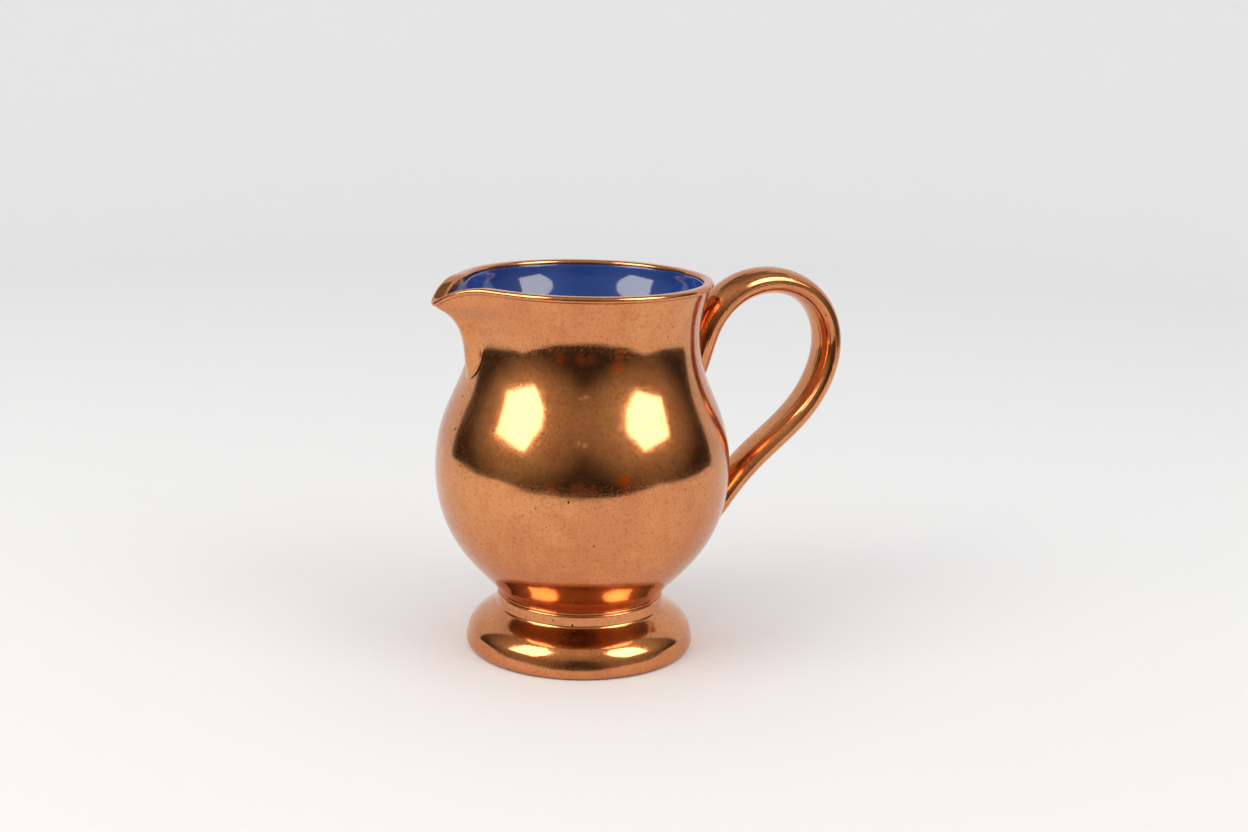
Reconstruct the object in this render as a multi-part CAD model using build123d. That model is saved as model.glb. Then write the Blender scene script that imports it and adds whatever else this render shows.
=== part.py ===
from build123d import *
import os
from math import acos, cos, degrees, radians, sin

os.makedirs("parts", exist_ok=True)

# Lustre-glazed earthenware jug: a thrown bowl on a thrown foot ring, with a pressed pouring lip and a
# pulled loop handle stuck on with slip. Millimetres, +Z up. The origin is the centre of the foot ring's
# resting face; the handle points to +X and the pouring lip to -X.

# Foot ring
foot_height = 19.4          # resting face to the flat top that the bowl is luted to
foot_edge_radius = 40.5     # widest place, on the rolled edge
foot_edge_height = 5.5
resting_radius = 37.5       # outer edge of the flat resting face
resting_width = 4.3
foot_throat_radius = 22.5   # inside of the ring where it meets the bowl
foot_throat_length = 5.0
roll_lean = 0.55            # the rolled edge leaves the resting face at this rise over run
flare_bulge = (0.3, 4.2)    # how the flare leaves the rolled edge: inwards and up
flare_pull = (3.9, 7.2)     # and how it arrives at the collar: out from the waist, down from the top
collar_step = 0.9           # the foot's top stands this far out before it steps in to the waist
collar_height = 3.4
step_height = 1.0
collar_draft = 0.1

# Bowl
waist_radius = 28.8
waist_lean = 31.3           # how far the wall leans out as it leaves the waist, in degrees
belly_radius = 51.7
belly_rise = 45.4           # bowl's base to the widest place
neck_radius = 39.9
neck_drop = 19.3            # narrowest place of the neck below the top
rim_height = 132.0          # resting face to the top of the rim
rim_radius = 42.8           # under the bead
rim_lean = 10.1             # flare of the rim, in degrees
bead_radius = 1.1
belly_wall = 4.0
neck_wall = 3.4
rim_wall = 2.4              # under the bead
rim_rounding = 1.2          # inner edge of the rim
floor_thickness = 4.5
# How far the outline runs on before it turns, as shares of the rise of each of its three curves:
# waist to belly, belly to neck, neck to rim. Outside first, then inside.
waist_run = 0.227
belly_run_down = 0.614
belly_run_up = 0.488
neck_run_down = 0.407
neck_run_up = 0.471
rim_run = 0.249
floor_run = 0.62            # flat middle of the floor, as a share of the belly's inner radius
inner_belly_run_down = 0.64
inner_belly_run_up = 0.46
inner_neck_run_down = 0.4
inner_rim_run = 0.3

# Slip joints and the blue glaze
slip_thickness = 0.6
slip_inset = 0.4            # the wiped joint sits this much inside the waist
glaze_thickness = 0.4
glaze_drop = 2.5            # the blue stops this far below the edge

# Pouring lip
lip_reach = 55.2            # axis to the tip
lip_tip_drop = 7.6          # the tip dips this far below the rim
lip_half_angle = 47.0
lip_wall = 2.8
lip_nose_radius = 2.0
lip_channel_radius = 1.2
lip_back = 0.7              # the lip's form is drawn back to this share of the neck radius
# Sections from the lower end up to the tip: depth below the rim, stand-off from the neck radius,
# nose radius, half angle between the sides.
lip_sections = (
    (38.0, 1.4, 8.2, 22.0),
    (32.7, 2.5, 8.2, 26.0),
    (27.5, 3.2, 8.2, 29.0),
    (22.0, 3.8, 7.8, 33.0),
    (17.0, 5.2, 6.6, 37.0),
    (13.0, 7.6, 5.0, 41.0),
    (10.2, 11.2, 3.4, 44.5),
)

# Handle: an oval strap, each station being thickness in the loop's plane and width across it
handle_thickness = 8.7
handle_width = 16.2
shoulder_thickness = 10.6   # where the strap lies against the neck
handle_stand_off = 43.6     # belly radius to the strap's centre at its furthest
handle_top_drop = 4.0       # rim to the strap's centre at its highest
handle_run_rise = 13.8      # belly to the point where the strap runs straight back down

bowl_base = foot_height + slip_thickness
belly_height = bowl_base + belly_rise
neck_height = rim_height - neck_drop
rim_edge_height = rim_height - 2 * bead_radius + 0.2
above_rim = rim_height + 12.0


def along(height_low, height_high, share):
    return height_low + (height_high - height_low) * share


def body_curve(gap):
    """The outside of the thrown body from waist to rim, moved outwards by a gap."""
    lean_out = radians(waist_lean)
    flare = radians(rim_lean)
    start = waist_run * belly_rise
    shoulder = neck_height - belly_height
    flare_span = rim_edge_height - neck_height
    waist = (waist_radius + gap, bowl_base)
    belly = (belly_radius + gap, belly_height)
    neck = (neck_radius + gap, neck_height)
    rim = (rim_radius + gap, rim_edge_height)
    lower = Bezier(
        waist,
        (waist[0] + start * sin(lean_out), waist[1] + start * cos(lean_out)),
        (belly[0], belly[1] - belly_run_down * belly_rise),
        belly,
    )
    upper = Bezier(
        belly,
        (belly[0], belly[1] + belly_run_up * shoulder),
        (neck[0], neck[1] - neck_run_down * shoulder),
        neck,
    )
    end = rim_run * flare_span
    top = Bezier(
        neck,
        (neck[0], neck[1] + neck_run_up * flare_span),
        (rim[0] - end * sin(flare), rim[1] - end * cos(flare)),
        rim,
    )
    return [lower, upper, top]


def turned(edges):
    """Revolves a closed outline drawn as radius and height."""
    outline = make_face(Wire([e.moved(Location(Plane.XZ)) for e in edges]))
    return revolve(outline, Axis.Z, 360)


def closed_by(edges, *corners):
    points = [edges[-1] @ 1, *[Vector(*c) for c in corners], edges[0] @ 0]
    return [*edges, *[Line(a, b) for a, b in zip(points, points[1:])]]


def thrown_solid(gap):
    """Everything inside the body's outer surface, carried straight up past the rim."""
    top = (rim_radius + gap, above_rim)
    return turned(closed_by(body_curve(gap), top, (0, above_rim), (0, bowl_base)))


def rimmed_solid():
    """The body's outer shape with its bead and rounded edge, still solid."""
    inner_radius = rim_radius - rim_wall
    inner_start = inner_radius + rim_rounding
    halfway = rim_rounding * (1 - cos(radians(45)))
    bead = ThreePointArc(
        (rim_radius, rim_edge_height),
        (rim_radius + bead_radius, rim_height - bead_radius),
        (rim_radius, rim_height),
    )
    edge = Line((rim_radius, rim_height), (inner_start, rim_height))
    inside = ThreePointArc(
        (inner_start, rim_height),
        (inner_radius + halfway, rim_height - halfway),
        (inner_radius, rim_height - rim_rounding),
    )
    edges = [*body_curve(0), bead, edge, inside]
    return turned(closed_by(edges, (0, rim_height - rim_rounding), (0, bowl_base)))


def thrown_cavity(gap):
    """The space inside the body, made smaller by a gap and carried up past the rim."""
    floor = bowl_base + floor_thickness + gap
    belly_inside = belly_radius - belly_wall - gap
    neck_inside = neck_radius - neck_wall - gap
    rim_inside = rim_radius - rim_wall - gap
    shoulder = neck_height - belly_height
    rise = belly_height - floor
    flare_span = rim_edge_height - neck_height
    edges = [
        Bezier(
            (0, floor),
            (floor_run * belly_inside, floor),
            (belly_inside, belly_height - inner_belly_run_down * rise),
            (belly_inside, belly_height),
        ),
        Bezier(
            (belly_inside, belly_height),
            (belly_inside, belly_height + inner_belly_run_up * shoulder),
            (neck_inside, neck_height - inner_neck_run_down * shoulder),
            (neck_inside, neck_height),
        ),
        Bezier(
            (neck_inside, neck_height),
            (neck_inside, neck_height + neck_run_up * flare_span),
            (rim_inside, rim_edge_height - inner_rim_run * flare_span),
            (rim_inside, rim_edge_height),
        ),
    ]
    return turned(closed_by(edges, (rim_inside, above_rim), (0, above_rim)))


def mirrored(point):
    return (point.X, -point.Y)


def lip_face(height, reach, nose, half_angle, inwards):
    """One level section of the lip: two straight sides that meet in a rounded nose."""
    lean = radians(half_angle)
    nose_centre = reach - nose
    radius = nose
    if inwards > 0:
        radius = max(nose - inwards, lip_channel_radius + glaze_thickness - (inwards - lip_wall))
        nose_centre = nose_centre - (radius + inwards - nose) / sin(lean)
    side = Vector(nose_centre + radius * sin(lean), radius * cos(lean))
    run = (side.X - lip_back * neck_radius) / cos(lean)
    back = Vector(side.X - run * cos(lean), side.Y + run * sin(lean))
    with BuildSketch(Plane.XY.offset(height)) as sketch:
        with BuildLine():
            Line((back.X, back.Y), (side.X, side.Y))
            ThreePointArc((side.X, side.Y), (nose_centre + radius, 0), mirrored(side))
            Line(mirrored(side), mirrored(back))
            Line(mirrored(back), (back.X, back.Y))
        make_face()
    return sketch.sketch.face().rotate(Axis.Z, 180)


def lip_solid(inwards):
    """The lip's outer form, or its channel when drawn inwards by the wall."""
    stations = [
        (rim_height - depth, neck_radius + proud, nose, angle)
        for depth, proud, nose, angle in lip_sections
    ]
    tip_height = rim_height - lip_tip_drop
    stations.append((tip_height, lip_reach, lip_nose_radius, lip_half_angle))
    lower = loft([lip_face(*s, inwards) for s in stations])
    upper = extrude(lip_face(*stations[-1], inwards), amount=above_rim - tip_height)
    return lower + upper


def above_edge(drop):
    """Everything above the rim and the dipping edge of the lip, lowered by a drop."""
    start = (-rim_radius, rim_height - drop)
    tip = (-lip_reach - 1.0, rim_height - lip_tip_drop - drop)
    clear = above_rim + bead_radius
    with BuildSketch(Plane.XZ) as sketch:
        with BuildLine():
            TangentArc(start, tip, tangent=(-1, 0))
            Polyline(tip, (tip[0], clear), (2 * belly_radius, clear), (2 * belly_radius, start[1]), start)
        make_face()
    return extrude(sketch.sketch, amount=2 * belly_radius, both=True)


def bead_gap():
    """The stretch of the bead that the lip takes the place of, ending square where its sides begin."""
    lean = radians(lip_half_angle)
    side_distance = (lip_reach - lip_nose_radius) * sin(lean) + lip_nose_radius
    half_turn = 90 - lip_half_angle - degrees(acos(side_distance / rim_radius))
    low = rim_edge_height - bead_radius
    section = Plane.XZ * Pos(rim_radius, low) * Rectangle(
        3 * bead_radius, above_rim - low, align=(Align.MIN, Align.MIN))
    return revolve(section, Axis.Z, 2 * half_turn).rotate(Axis.Z, 180 - half_turn)


def strap_stations():
    """Centre, thickness and width of the handle's oval from its upper root to its lower tail."""
    top = rim_height - handle_top_drop
    run = belly_height + handle_run_rise
    reach = belly_radius + handle_stand_off
    full = (handle_thickness, handle_width)
    return (
        (neck_radius - 3.0, rim_height - 45.0, 5.0, 7.0),
        (neck_radius + 1.3, rim_height - 35.2, 9.4, 13.0),
        (neck_radius + 6.1, rim_height - 18.8, shoulder_thickness, handle_width),
        (neck_radius + 17.6, top - 2.6, handle_thickness + 1.4, handle_width),
        (reach - 19.9, top, handle_thickness + 0.5, handle_width),
        (reach - 8.5, along(top, run, 0.107), *full),
        (reach - 3.0, along(top, run, 0.242), *full),
        (reach, along(top, run, 0.439), *full),
        (reach - 1.6, along(top, run, 0.691), *full),
        (reach - 10.9, run, *full),
        (belly_radius + 15.1, belly_height - 1.5, *full),
        (belly_radius + 2.6, belly_height - 15.0, *full),
        (belly_radius - 4.6, belly_height - 24.6, handle_thickness - 1.0, 14.5),
        (belly_radius - 12.4, belly_height - 32.6, 5.0, 10.0),
        (belly_radius - 20.0, belly_height - 38.4, 3.6, 6.0),
    )


def strap():
    """The handle before it is trimmed to the body."""
    stations = strap_stations()
    path = Spline(*[(x, 0, z) for x, z, _, _ in stations])
    ovals = []
    for x, z, thickness, width in stations:
        at = path.param_at_point((x, 0, z))
        level = Plane(origin=(x, 0, z), x_dir=(0, 1, 0), z_dir=path % at)
        ovals.append(level * Ellipse(width / 2, thickness / 2).face())
    return loft(ovals)


def foot_ring():
    """The flared foot, hollow through, with a short upright collar under the bowl."""
    resting_inner = resting_radius - resting_width
    collar_foot = (waist_radius + collar_step, foot_height - collar_height)
    collar_top = (waist_radius + collar_draft, foot_height - collar_height + step_height)
    edge = (foot_edge_radius, foot_edge_height)
    edges = [
        Line((resting_inner, 0), (resting_radius, 0)),
        TangentArc((resting_radius, 0), edge, tangent=(1, roll_lean)),
        Bezier(
            edge,
            (edge[0] - flare_bulge[0], edge[1] + flare_bulge[1]),
            (waist_radius + flare_pull[0], foot_height - flare_pull[1]),
            collar_foot,
        ),
        Line(collar_foot, collar_top),
        Line(collar_top, (waist_radius, foot_height)),
    ]
    corners = (
        (foot_throat_radius, foot_height),
        (foot_throat_radius, foot_height - foot_throat_length),
    )
    return turned(closed_by(edges, *corners))


def ring_at(outer, inner, low, high):
    face = Plane.XY.offset(low) * (Circle(outer) - Circle(inner))
    return extrude(face, amount=high - low)


def pieces():
    body = thrown_solid(0)
    body_and_slip = thrown_solid(slip_thickness)
    slip_layer = body_and_slip - body
    cavity = thrown_cavity(0) + lip_solid(lip_wall)
    glazed_cavity = thrown_cavity(glaze_thickness) + lip_solid(lip_wall + glaze_thickness)

    lip_blank = lip_solid(0) - cavity - above_edge(0)
    lip_slip = lip_blank & slip_layer
    lip = lip_blank - body_and_slip
    bowl = rimmed_solid() - cavity - bead_gap()
    lining = cavity - glazed_cavity - above_edge(glaze_drop)

    handle_blank = strap()
    handle_slip = handle_blank & slip_layer
    upper_slip = [s for s in handle_slip.solids() if s.center().Z > belly_height]
    lower_slip = [s for s in handle_slip.solids() if s.center().Z <= belly_height]
    foot_slip = ring_at(waist_radius - slip_inset, foot_throat_radius + slip_inset, foot_height, bowl_base)

    return {
        "bowl": bowl,
        "foot": foot_ring(),
        "foot_luting": foot_slip,
        "pouring_lip": lip,
        "lip_luting": lip_slip,
        "handle": handle_blank - body_and_slip,
        "handle_upper_luting": Compound(upper_slip),
        "handle_lower_luting": Compound(lower_slip),
        "blue_glaze_lining": lining,
    }


for name, piece in pieces().items():
    export_step(piece, f"parts/{name}.step")
    print(name, len(piece.solids()), round(piece.volume / 1000, 2), "cm3")
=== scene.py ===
import math

import bmesh
import bpy
import numpy as np
from mathutils import Matrix, Vector


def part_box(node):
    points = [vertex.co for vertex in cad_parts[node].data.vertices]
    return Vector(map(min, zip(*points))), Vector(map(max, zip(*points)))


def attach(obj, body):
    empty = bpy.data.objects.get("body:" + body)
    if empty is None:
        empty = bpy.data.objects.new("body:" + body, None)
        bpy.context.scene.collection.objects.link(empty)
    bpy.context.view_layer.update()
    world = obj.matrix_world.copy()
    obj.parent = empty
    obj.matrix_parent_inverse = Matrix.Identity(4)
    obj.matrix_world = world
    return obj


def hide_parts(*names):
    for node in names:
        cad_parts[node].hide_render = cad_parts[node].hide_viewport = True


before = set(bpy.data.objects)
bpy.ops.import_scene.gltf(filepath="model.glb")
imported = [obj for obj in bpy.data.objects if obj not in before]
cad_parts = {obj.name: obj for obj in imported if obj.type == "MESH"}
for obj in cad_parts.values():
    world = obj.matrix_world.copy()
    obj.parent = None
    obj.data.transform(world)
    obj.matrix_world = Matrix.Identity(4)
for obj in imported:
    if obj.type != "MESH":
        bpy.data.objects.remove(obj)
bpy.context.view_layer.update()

MM = 0.001


# ---------------------------------------------------------------------------------------------------
# Camera: 50 mm lens a little above the rim, the pouring lip turned to the front left and the handle to
# the back right.
CAMERA_TURN = math.radians(-23.0)       # the studio is turned this much about the jug's own axes
studio = Matrix.Rotation(CAMERA_TURN, 4, "Z")
camera_data = bpy.data.cameras.new("camera")
camera_data.sensor_width = 36.0
camera_data.lens = 50.2
camera = bpy.data.objects.new("camera", camera_data)
bpy.context.collection.objects.link(camera)
tilt = Matrix.Rotation(math.radians(90.0 - 13.23), 4, "X")
roll = Matrix.Rotation(math.radians(1.48), 4, "Z")
camera.matrix_world = studio @ Matrix.Translation((14.2 * MM, -593.2 * MM, 222.7 * MM)) @ tilt @ roll
bpy.context.scene.camera = camera
bpy.context.scene.view_settings.view_transform = "Standard"


# ---------------------------------------------------------------------------------------------------
# Sweep: white card laid on the table and curved up behind the jug. The part in front of the table's
# edge is only there for the eye, so that the glaze mirrors the dim room beyond the card.
CARD_EDGE = 340 * MM                    # straight front edge of the table card, from the jug
CARD_SIDE = 590 * MM                    # its straight side edges
CARD_SIDE_END = 250 * MM                # how far back the side edges run
CARD_FLAT = 1000 * MM                   # flat out to here, then it curves up
CARD_BEND = 500 * MM
CARD_TOP = 1900 * MM
WALL_OPEN = 117.0                       # the curved wall starts this far round from the camera, degrees


def linear(code):
    """A hex sRGB colour as linear red, green, blue and alpha."""
    parts = [int(code[i:i + 2], 16) / 255 for i in (1, 3, 5)]
    curve = [c / 12.92 if c <= 0.04045 else ((c + 0.055) / 1.055) ** 2.4 for c in parts]
    return (*curve, 1.0)


def add_node(tree, kind, settings=None, inputs=None):
    """Adds a node, sets its properties and fills its inputs with values or links."""
    node = tree.nodes.new(kind)
    for name, value in (settings or {}).items():
        setattr(node, name, value)
    for key, value in (inputs or {}).items():
        socket = node.inputs[key]
        if isinstance(value, bpy.types.NodeSocket):
            tree.links.new(value, socket)
        else:
            socket.default_value = value
    return node


def sum_of(tree, operation, *values):
    """One maths node; the values are numbers or sockets."""
    return add_node(tree, "ShaderNodeMath", {"operation": operation}, dict(enumerate(values))).outputs[0]


def spread(tree, value, low, high, to_low=0.0, to_high=1.0, kind="SMOOTHSTEP"):
    """Maps a value from one range to another."""
    return add_node(tree, "ShaderNodeMapRange", {"interpolation_type": kind}, {
        "Value": value, "From Min": low, "From Max": high,
        "To Min": to_low, "To Max": to_high}).outputs["Result"]


def mixed(tree, share, first, second, blend="MIX"):
    """Mixes two colours."""
    node = add_node(tree, "ShaderNodeMix", {"data_type": "RGBA", "blend_type": blend})
    for socket, value in ((node.inputs[0], share), (node.inputs[6], first), (node.inputs[7], second)):
        if isinstance(value, bpy.types.NodeSocket):
            tree.links.new(value, socket)
        else:
            socket.default_value = value
    return node.outputs[2]


def new_material(name):
    material = bpy.data.materials.new(name)
    material.use_nodes = True
    material.node_tree.nodes.clear()
    return material, material.node_tree


def mesh_object(name, points, faces, *materials):
    mesh = bpy.data.meshes.new(name)
    mesh.from_pydata([tuple(p) for p in points], [], faces)
    mesh.validate()
    mesh.shade_smooth()
    for material in materials:
        mesh.materials.append(material)
    made = bpy.data.objects.new(name, mesh)
    bpy.context.collection.objects.link(made)
    return made


card_white, tree = new_material("matt_white_card")
grain = add_node(tree, "ShaderNodeTexNoise", inputs={"Scale": 700.0, "Detail": 2.0})
relief = add_node(tree, "ShaderNodeBump", inputs={
    "Strength": 0.05, "Distance": 0.0002, "Height": grain.outputs["Fac"]})
shader = add_node(tree, "ShaderNodeBsdfPrincipled", inputs={
    "Base Color": linear("#f2f2f2"), "Roughness": 0.8, "Specular IOR Level": 0.2,
    "Normal": relief.outputs["Normal"]})
add_node(tree, "ShaderNodeOutputMaterial", inputs={"Surface": shader.outputs[0]})

wall_rows = [(CARD_FLAT, 0.0)]
for i in range(1, 13):
    bend = math.pi / 2 * i / 12
    wall_rows.append((CARD_FLAT + CARD_BEND * math.sin(bend), CARD_BEND * (1 - math.cos(bend))))
wall_rows.append((CARD_FLAT + CARD_BEND, CARD_TOP))


def card_wall(name, start, end, steps, inner=None):
    """A sector of the curved wall between two angles from the camera's side, with the table if asked."""
    rows = ([(inner, 0.0)] if inner is not None else []) + wall_rows
    points = []
    for j in range(steps + 1):
        angle = math.radians(start + (end - start) * j / steps)
        points += [studio @ Vector((r * math.sin(angle), -r * math.cos(angle), z)) for r, z in rows]
    n = len(rows)
    faces = [(j * n + i, (j + 1) * n + i, (j + 1) * n + i + 1, j * n + i + 1)
             for j in range(steps) for i in range(n - 1)]
    return mesh_object(name, points, faces, card_white)


back_wall = card_wall("sweep_back", WALL_OPEN, 360 - WALL_OPEN, 48)
# the table card: straight in front and at the sides, widening behind to meet the wall
edge_turn = math.radians(WALL_OPEN)
card_corners = [(CARD_FLAT * math.sin(a), -CARD_FLAT * math.cos(a))
              for a in np.linspace(edge_turn, 2 * math.pi - edge_turn, 97)]
card_corners += [(-CARD_SIDE, CARD_SIDE_END), (-CARD_SIDE, -CARD_EDGE),
               (CARD_SIDE, -CARD_EDGE), (CARD_SIDE, CARD_SIDE_END)]
table = mesh_object("card_on_table", [studio @ Vector((x, y, 0)) for x, y in card_corners],
                    [tuple(range(len(card_corners)))], card_white)
front = card_wall("sweep_front", -180, 180, 96, 0.0)
front.location.z = -0.0002
front.visible_glossy = False
front.visible_diffuse = False
front.visible_shadow = False


# ---------------------------------------------------------------------------------------------------
# Room and lights: a soft box on each side in front of the jug, and a dim room that only the glaze
# mirrors. The room is dark at eye level, lighter round the soft boxes and under the ceiling, with a
# few warm things standing about in it.
def way_to(side, height):
    """The direction at an angle from the camera's side and above the table, in the jug's frame."""
    a, h = math.radians(side), math.radians(height)
    return studio.to_3x3() @ Vector((math.sin(a) * math.cos(h), -math.cos(a) * math.cos(h), math.sin(h)))


def soft_box(name, corners, distance, size, power, strength):
    """A lamp that lights the jug and the lit cloth that the jug mirrors, with the cloth's corners."""
    middle = sum((way_to(*c) for c in corners), Vector()).normalized()
    aim_at = Vector((0, 0, 80 * MM))
    data = bpy.data.lights.new(name, "AREA")
    data.shape = "SQUARE"
    data.size = size
    data.energy = power
    data.color = linear("#fffaf2")[:3]
    lamp = bpy.data.objects.new(name, data)
    bpy.context.collection.objects.link(lamp)
    lamp.matrix_world = Matrix.Translation(middle * distance + aim_at) @ \
        (-middle).to_track_quat("-Z", "Y").to_matrix().to_4x4()
    lamp.visible_glossy = False
    cloth, tree = new_material(name + "_cloth")
    shader = add_node(tree, "ShaderNodeEmission", inputs={"Color": linear("#fff8e8"), "Strength": strength})
    add_node(tree, "ShaderNodeOutputMaterial", inputs={"Surface": shader.outputs[0]})
    sheet = mesh_object(name + "_front", [way_to(*c) * distance + aim_at for c in corners],
                        [tuple(range(len(corners)))], cloth)
    sheet.visible_camera = False
    sheet.visible_diffuse = False
    sheet.visible_shadow = False
    return middle


left_way = soft_box("soft_box_left", [(-46, 16.5), (-36, 31), (-31, 48), (-54, 60), (-78, 50), (-75, 19)],
                    1.25, 0.74, 4.6, 7.0)
right_way = soft_box("soft_box_right", [(52, 19), (41, 31), (35, 48), (58, 60), (81, 50), (77.5, 20)],
                     1.25, 0.72, 3.0, 7.0)

world = bpy.data.worlds.new("studio_room")
bpy.context.scene.world = world
world.use_nodes = True
room = world.node_tree
room.nodes.clear()
path = add_node(room, "ShaderNodeLightPath")
way = add_node(room, "ShaderNodeVectorRotate", {"rotation_type": "Z_AXIS"}, {
    "Vector": add_node(room, "ShaderNodeTexCoord").outputs["Generated"],
    "Angle": -CAMERA_TURN}).outputs[0]
axes = add_node(room, "ShaderNodeSeparateXYZ", inputs={0: way})
up, ahead = axes.outputs["Z"], sum_of(room, "MULTIPLY", axes.outputs["Y"], -1.0)


def fit_way(direction):
    return studio.inverted().to_3x3() @ direction


def near_way(direction, inner, outer):
    """1 towards a direction, fading to 0 between two angles from it, in degrees."""
    dot = add_node(room, "ShaderNodeVectorMath", {"operation": "DOT_PRODUCT"}, {
        0: way, 1: tuple(direction)}).outputs["Value"]
    return spread(room, dot, math.cos(math.radians(outer)), math.cos(math.radians(inner)))


level = spread(room, up, -0.05, 0.42, 0.045, 0.13)
high = spread(room, up, 0.6, 0.97, 0.0, 0.2)
glow = sum_of(room, "ADD", near_way(fit_way(left_way), 22, 56), near_way(fit_way(right_way), 22, 56))
glow = sum_of(room, "MULTIPLY", glow, 0.42)
strength = sum_of(room, "ADD", sum_of(room, "ADD", level, high), glow)
things = add_node(room, "ShaderNodeTexVoronoi", inputs={"Vector": way, "Scale": 5.2, "Randomness": 1.0})
lit = spread(room, add_node(room, "ShaderNodeSeparateColor", inputs={
    0: things.outputs["Color"]}).outputs[0], 0.62, 0.9)
soft = spread(room, things.outputs["Distance"], 0.30, 0.62, 1.0, 0.0)
low_band = sum_of(room, "MULTIPLY", spread(room, up, 0.02, 0.26, 1.0, 0.0), spread(room, ahead, 0.45, 0.85))
warm = sum_of(room, "MULTIPLY", sum_of(room, "MULTIPLY", lit, soft), low_band)
tint = mixed(room, warm, linear("#e9dfc8"), linear("#ff9c48"))
strength = sum_of(room, "ADD", strength, sum_of(room, "MULTIPLY", warm, 0.16))
for side, rise in ((-2, 27), (3, 26)):
    lamp_way = Vector((math.sin(math.radians(side)) * math.cos(math.radians(rise)),
                       -math.cos(math.radians(side)) * math.cos(math.radians(rise)),
                       math.sin(math.radians(rise))))
    strength = sum_of(room, "ADD", strength, sum_of(room, "MULTIPLY", near_way(lamp_way, 0.5, 1.5), 1.2))
room_light = add_node(room, "ShaderNodeBackground", inputs={"Color": tint, "Strength": strength})
fill_light = add_node(room, "ShaderNodeBackground", inputs={"Color": linear("#f2f3f5"), "Strength": 0.87})
seen = add_node(room, "ShaderNodeMixShader", inputs={
    0: path.outputs["Is Glossy Ray"], 1: fill_light.outputs[0], 2: room_light.outputs[0]})
add_node(room, "ShaderNodeOutputWorld", inputs={"Surface": seen.outputs[0]})


# ---------------------------------------------------------------------------------------------------
# Bowl: red earthenware thrown on a wheel, its collar left open for the lip, glazed brown and washed
# with copper lustre. The film mirrors like metal, breaks at pinholes and is finely grained.
bowl_low, bowl_high = (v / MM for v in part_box("bowl"))
rim_top = bowl_high.z
waist_height = bowl_low.z
belly_radius = bowl_high.y
waist_radius = 28.8
waist_lean = math.radians(31.3)
belly_height = 65.4
neck_radius = 39.9
neck_height = rim_top - 19.3
rim_radius = 42.8
bead_radius = 1.1
rim_wall = 2.4
wall = 4.0
floor_top = waist_height + 4.5
rim_edge = rim_top - 2 * bead_radius + 0.2
rim_face = 1.4                          # depth of the rounded edge inside the rim
floor_bend = 44.0                       # below this the inside is shaped as a floor
dip_outside, dip_inside = 92.0, 96.0    # above these heights the wall dips with the rim at the lip


def bezier(points, shares):
    """Points on a cubic curve."""
    a, b, c, d = (np.array(p, float) for p in points)
    t = np.asarray(shares, float)[:, None]
    return (1 - t) ** 3 * a + 3 * (1 - t) ** 2 * t * b + 3 * (1 - t) * t ** 2 * c + t ** 3 * d


def wall_outline(low, belly, neck, rim, runs, lean_low=None):
    """Radius and height from the bottom to the rim through belly and neck, closely spaced."""
    rise, shoulder, flare = belly[1] - low[1], neck[1] - belly[1], rim[1] - neck[1]
    t = np.linspace(0, 1, 400)
    if lean_low is None:
        first = (runs[0] * belly[0], low[1])
    else:
        first = (low[0] + runs[0] * rise * math.sin(lean_low), low[1] + runs[0] * rise * math.cos(lean_low))
    end = runs[5] * flare
    curves = [
        [low, first, (belly[0], belly[1] - runs[1] * rise), belly],
        [belly, (belly[0], belly[1] + runs[2] * shoulder), (neck[0], neck[1] - runs[3] * shoulder), neck],
        [neck, (neck[0], neck[1] + runs[4] * flare), (rim[0] - runs[6] * end, rim[1] - end), rim],
    ]
    return np.vstack([bezier(c, t)[min(i, 1):] for i, c in enumerate(curves)])


outside = wall_outline((waist_radius, waist_height), (belly_radius, belly_height), (neck_radius, neck_height),
                       (rim_radius, rim_edge), (0.227, 0.614, 0.488, 0.407, 0.471, 0.245, 0.178), waist_lean)
inside = wall_outline((0, floor_top), (belly_radius - wall, belly_height), (neck_radius - 3.4, neck_height),
                      (rim_radius - rim_wall, rim_edge), (0.62, 0.64, 0.46, 0.4, 0.471, 0.3, 0.0))

# The lip: depth below the rim, stand-off from the neck radius, nose radius, half angle of its sides
lip_stations = np.array([
    (56.0, -6.0, 8.2, 20.0),
    (38.0, 1.4, 8.2, 22.0),
    (32.7, 2.5, 8.2, 26.0),
    (27.5, 3.2, 8.2, 29.0),
    (22.0, 3.8, 7.8, 33.0),
    (17.0, 5.2, 6.6, 37.0),
    (13.0, 7.6, 5.0, 41.0),
    (10.4, 10.3, 3.6, 44.5),
    (8.8, 12.9, 2.8, 46.0),
    (7.0, 14.6, 2.5, 47.0),
    (0.0, 16.0, 2.5, 47.0),
])[::-1]


def smooth_through(x, known_x, known_y):
    """A smooth curve through the stations that never overshoots."""
    h = np.diff(known_x)
    slope = np.diff(known_y) / h
    m = np.zeros(len(known_x))
    same = slope[1:] * slope[:-1] > 0
    w1, w2 = 2 * h[1:] + h[:-1], h[1:] + 2 * h[:-1]
    middle = np.zeros(len(slope) - 1)
    middle[same] = (w1 + w2)[same] / (w1[same] / slope[:-1][same] + w2[same] / slope[1:][same])
    m[1:-1], m[0], m[-1] = middle, slope[0], slope[-1]
    x = np.clip(x, known_x[0], known_x[-1])
    i = np.clip(np.searchsorted(known_x, x) - 1, 0, len(h) - 1)
    t = (x - known_x[i]) / h[i]
    return ((1 + 2 * t) * (1 - t) ** 2 * known_y[i] + t * (1 - t) ** 2 * h[i] * m[i]
            + t ** 2 * (3 - 2 * t) * known_y[i + 1] + t ** 2 * (t - 1) * h[i] * m[i + 1])


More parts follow.
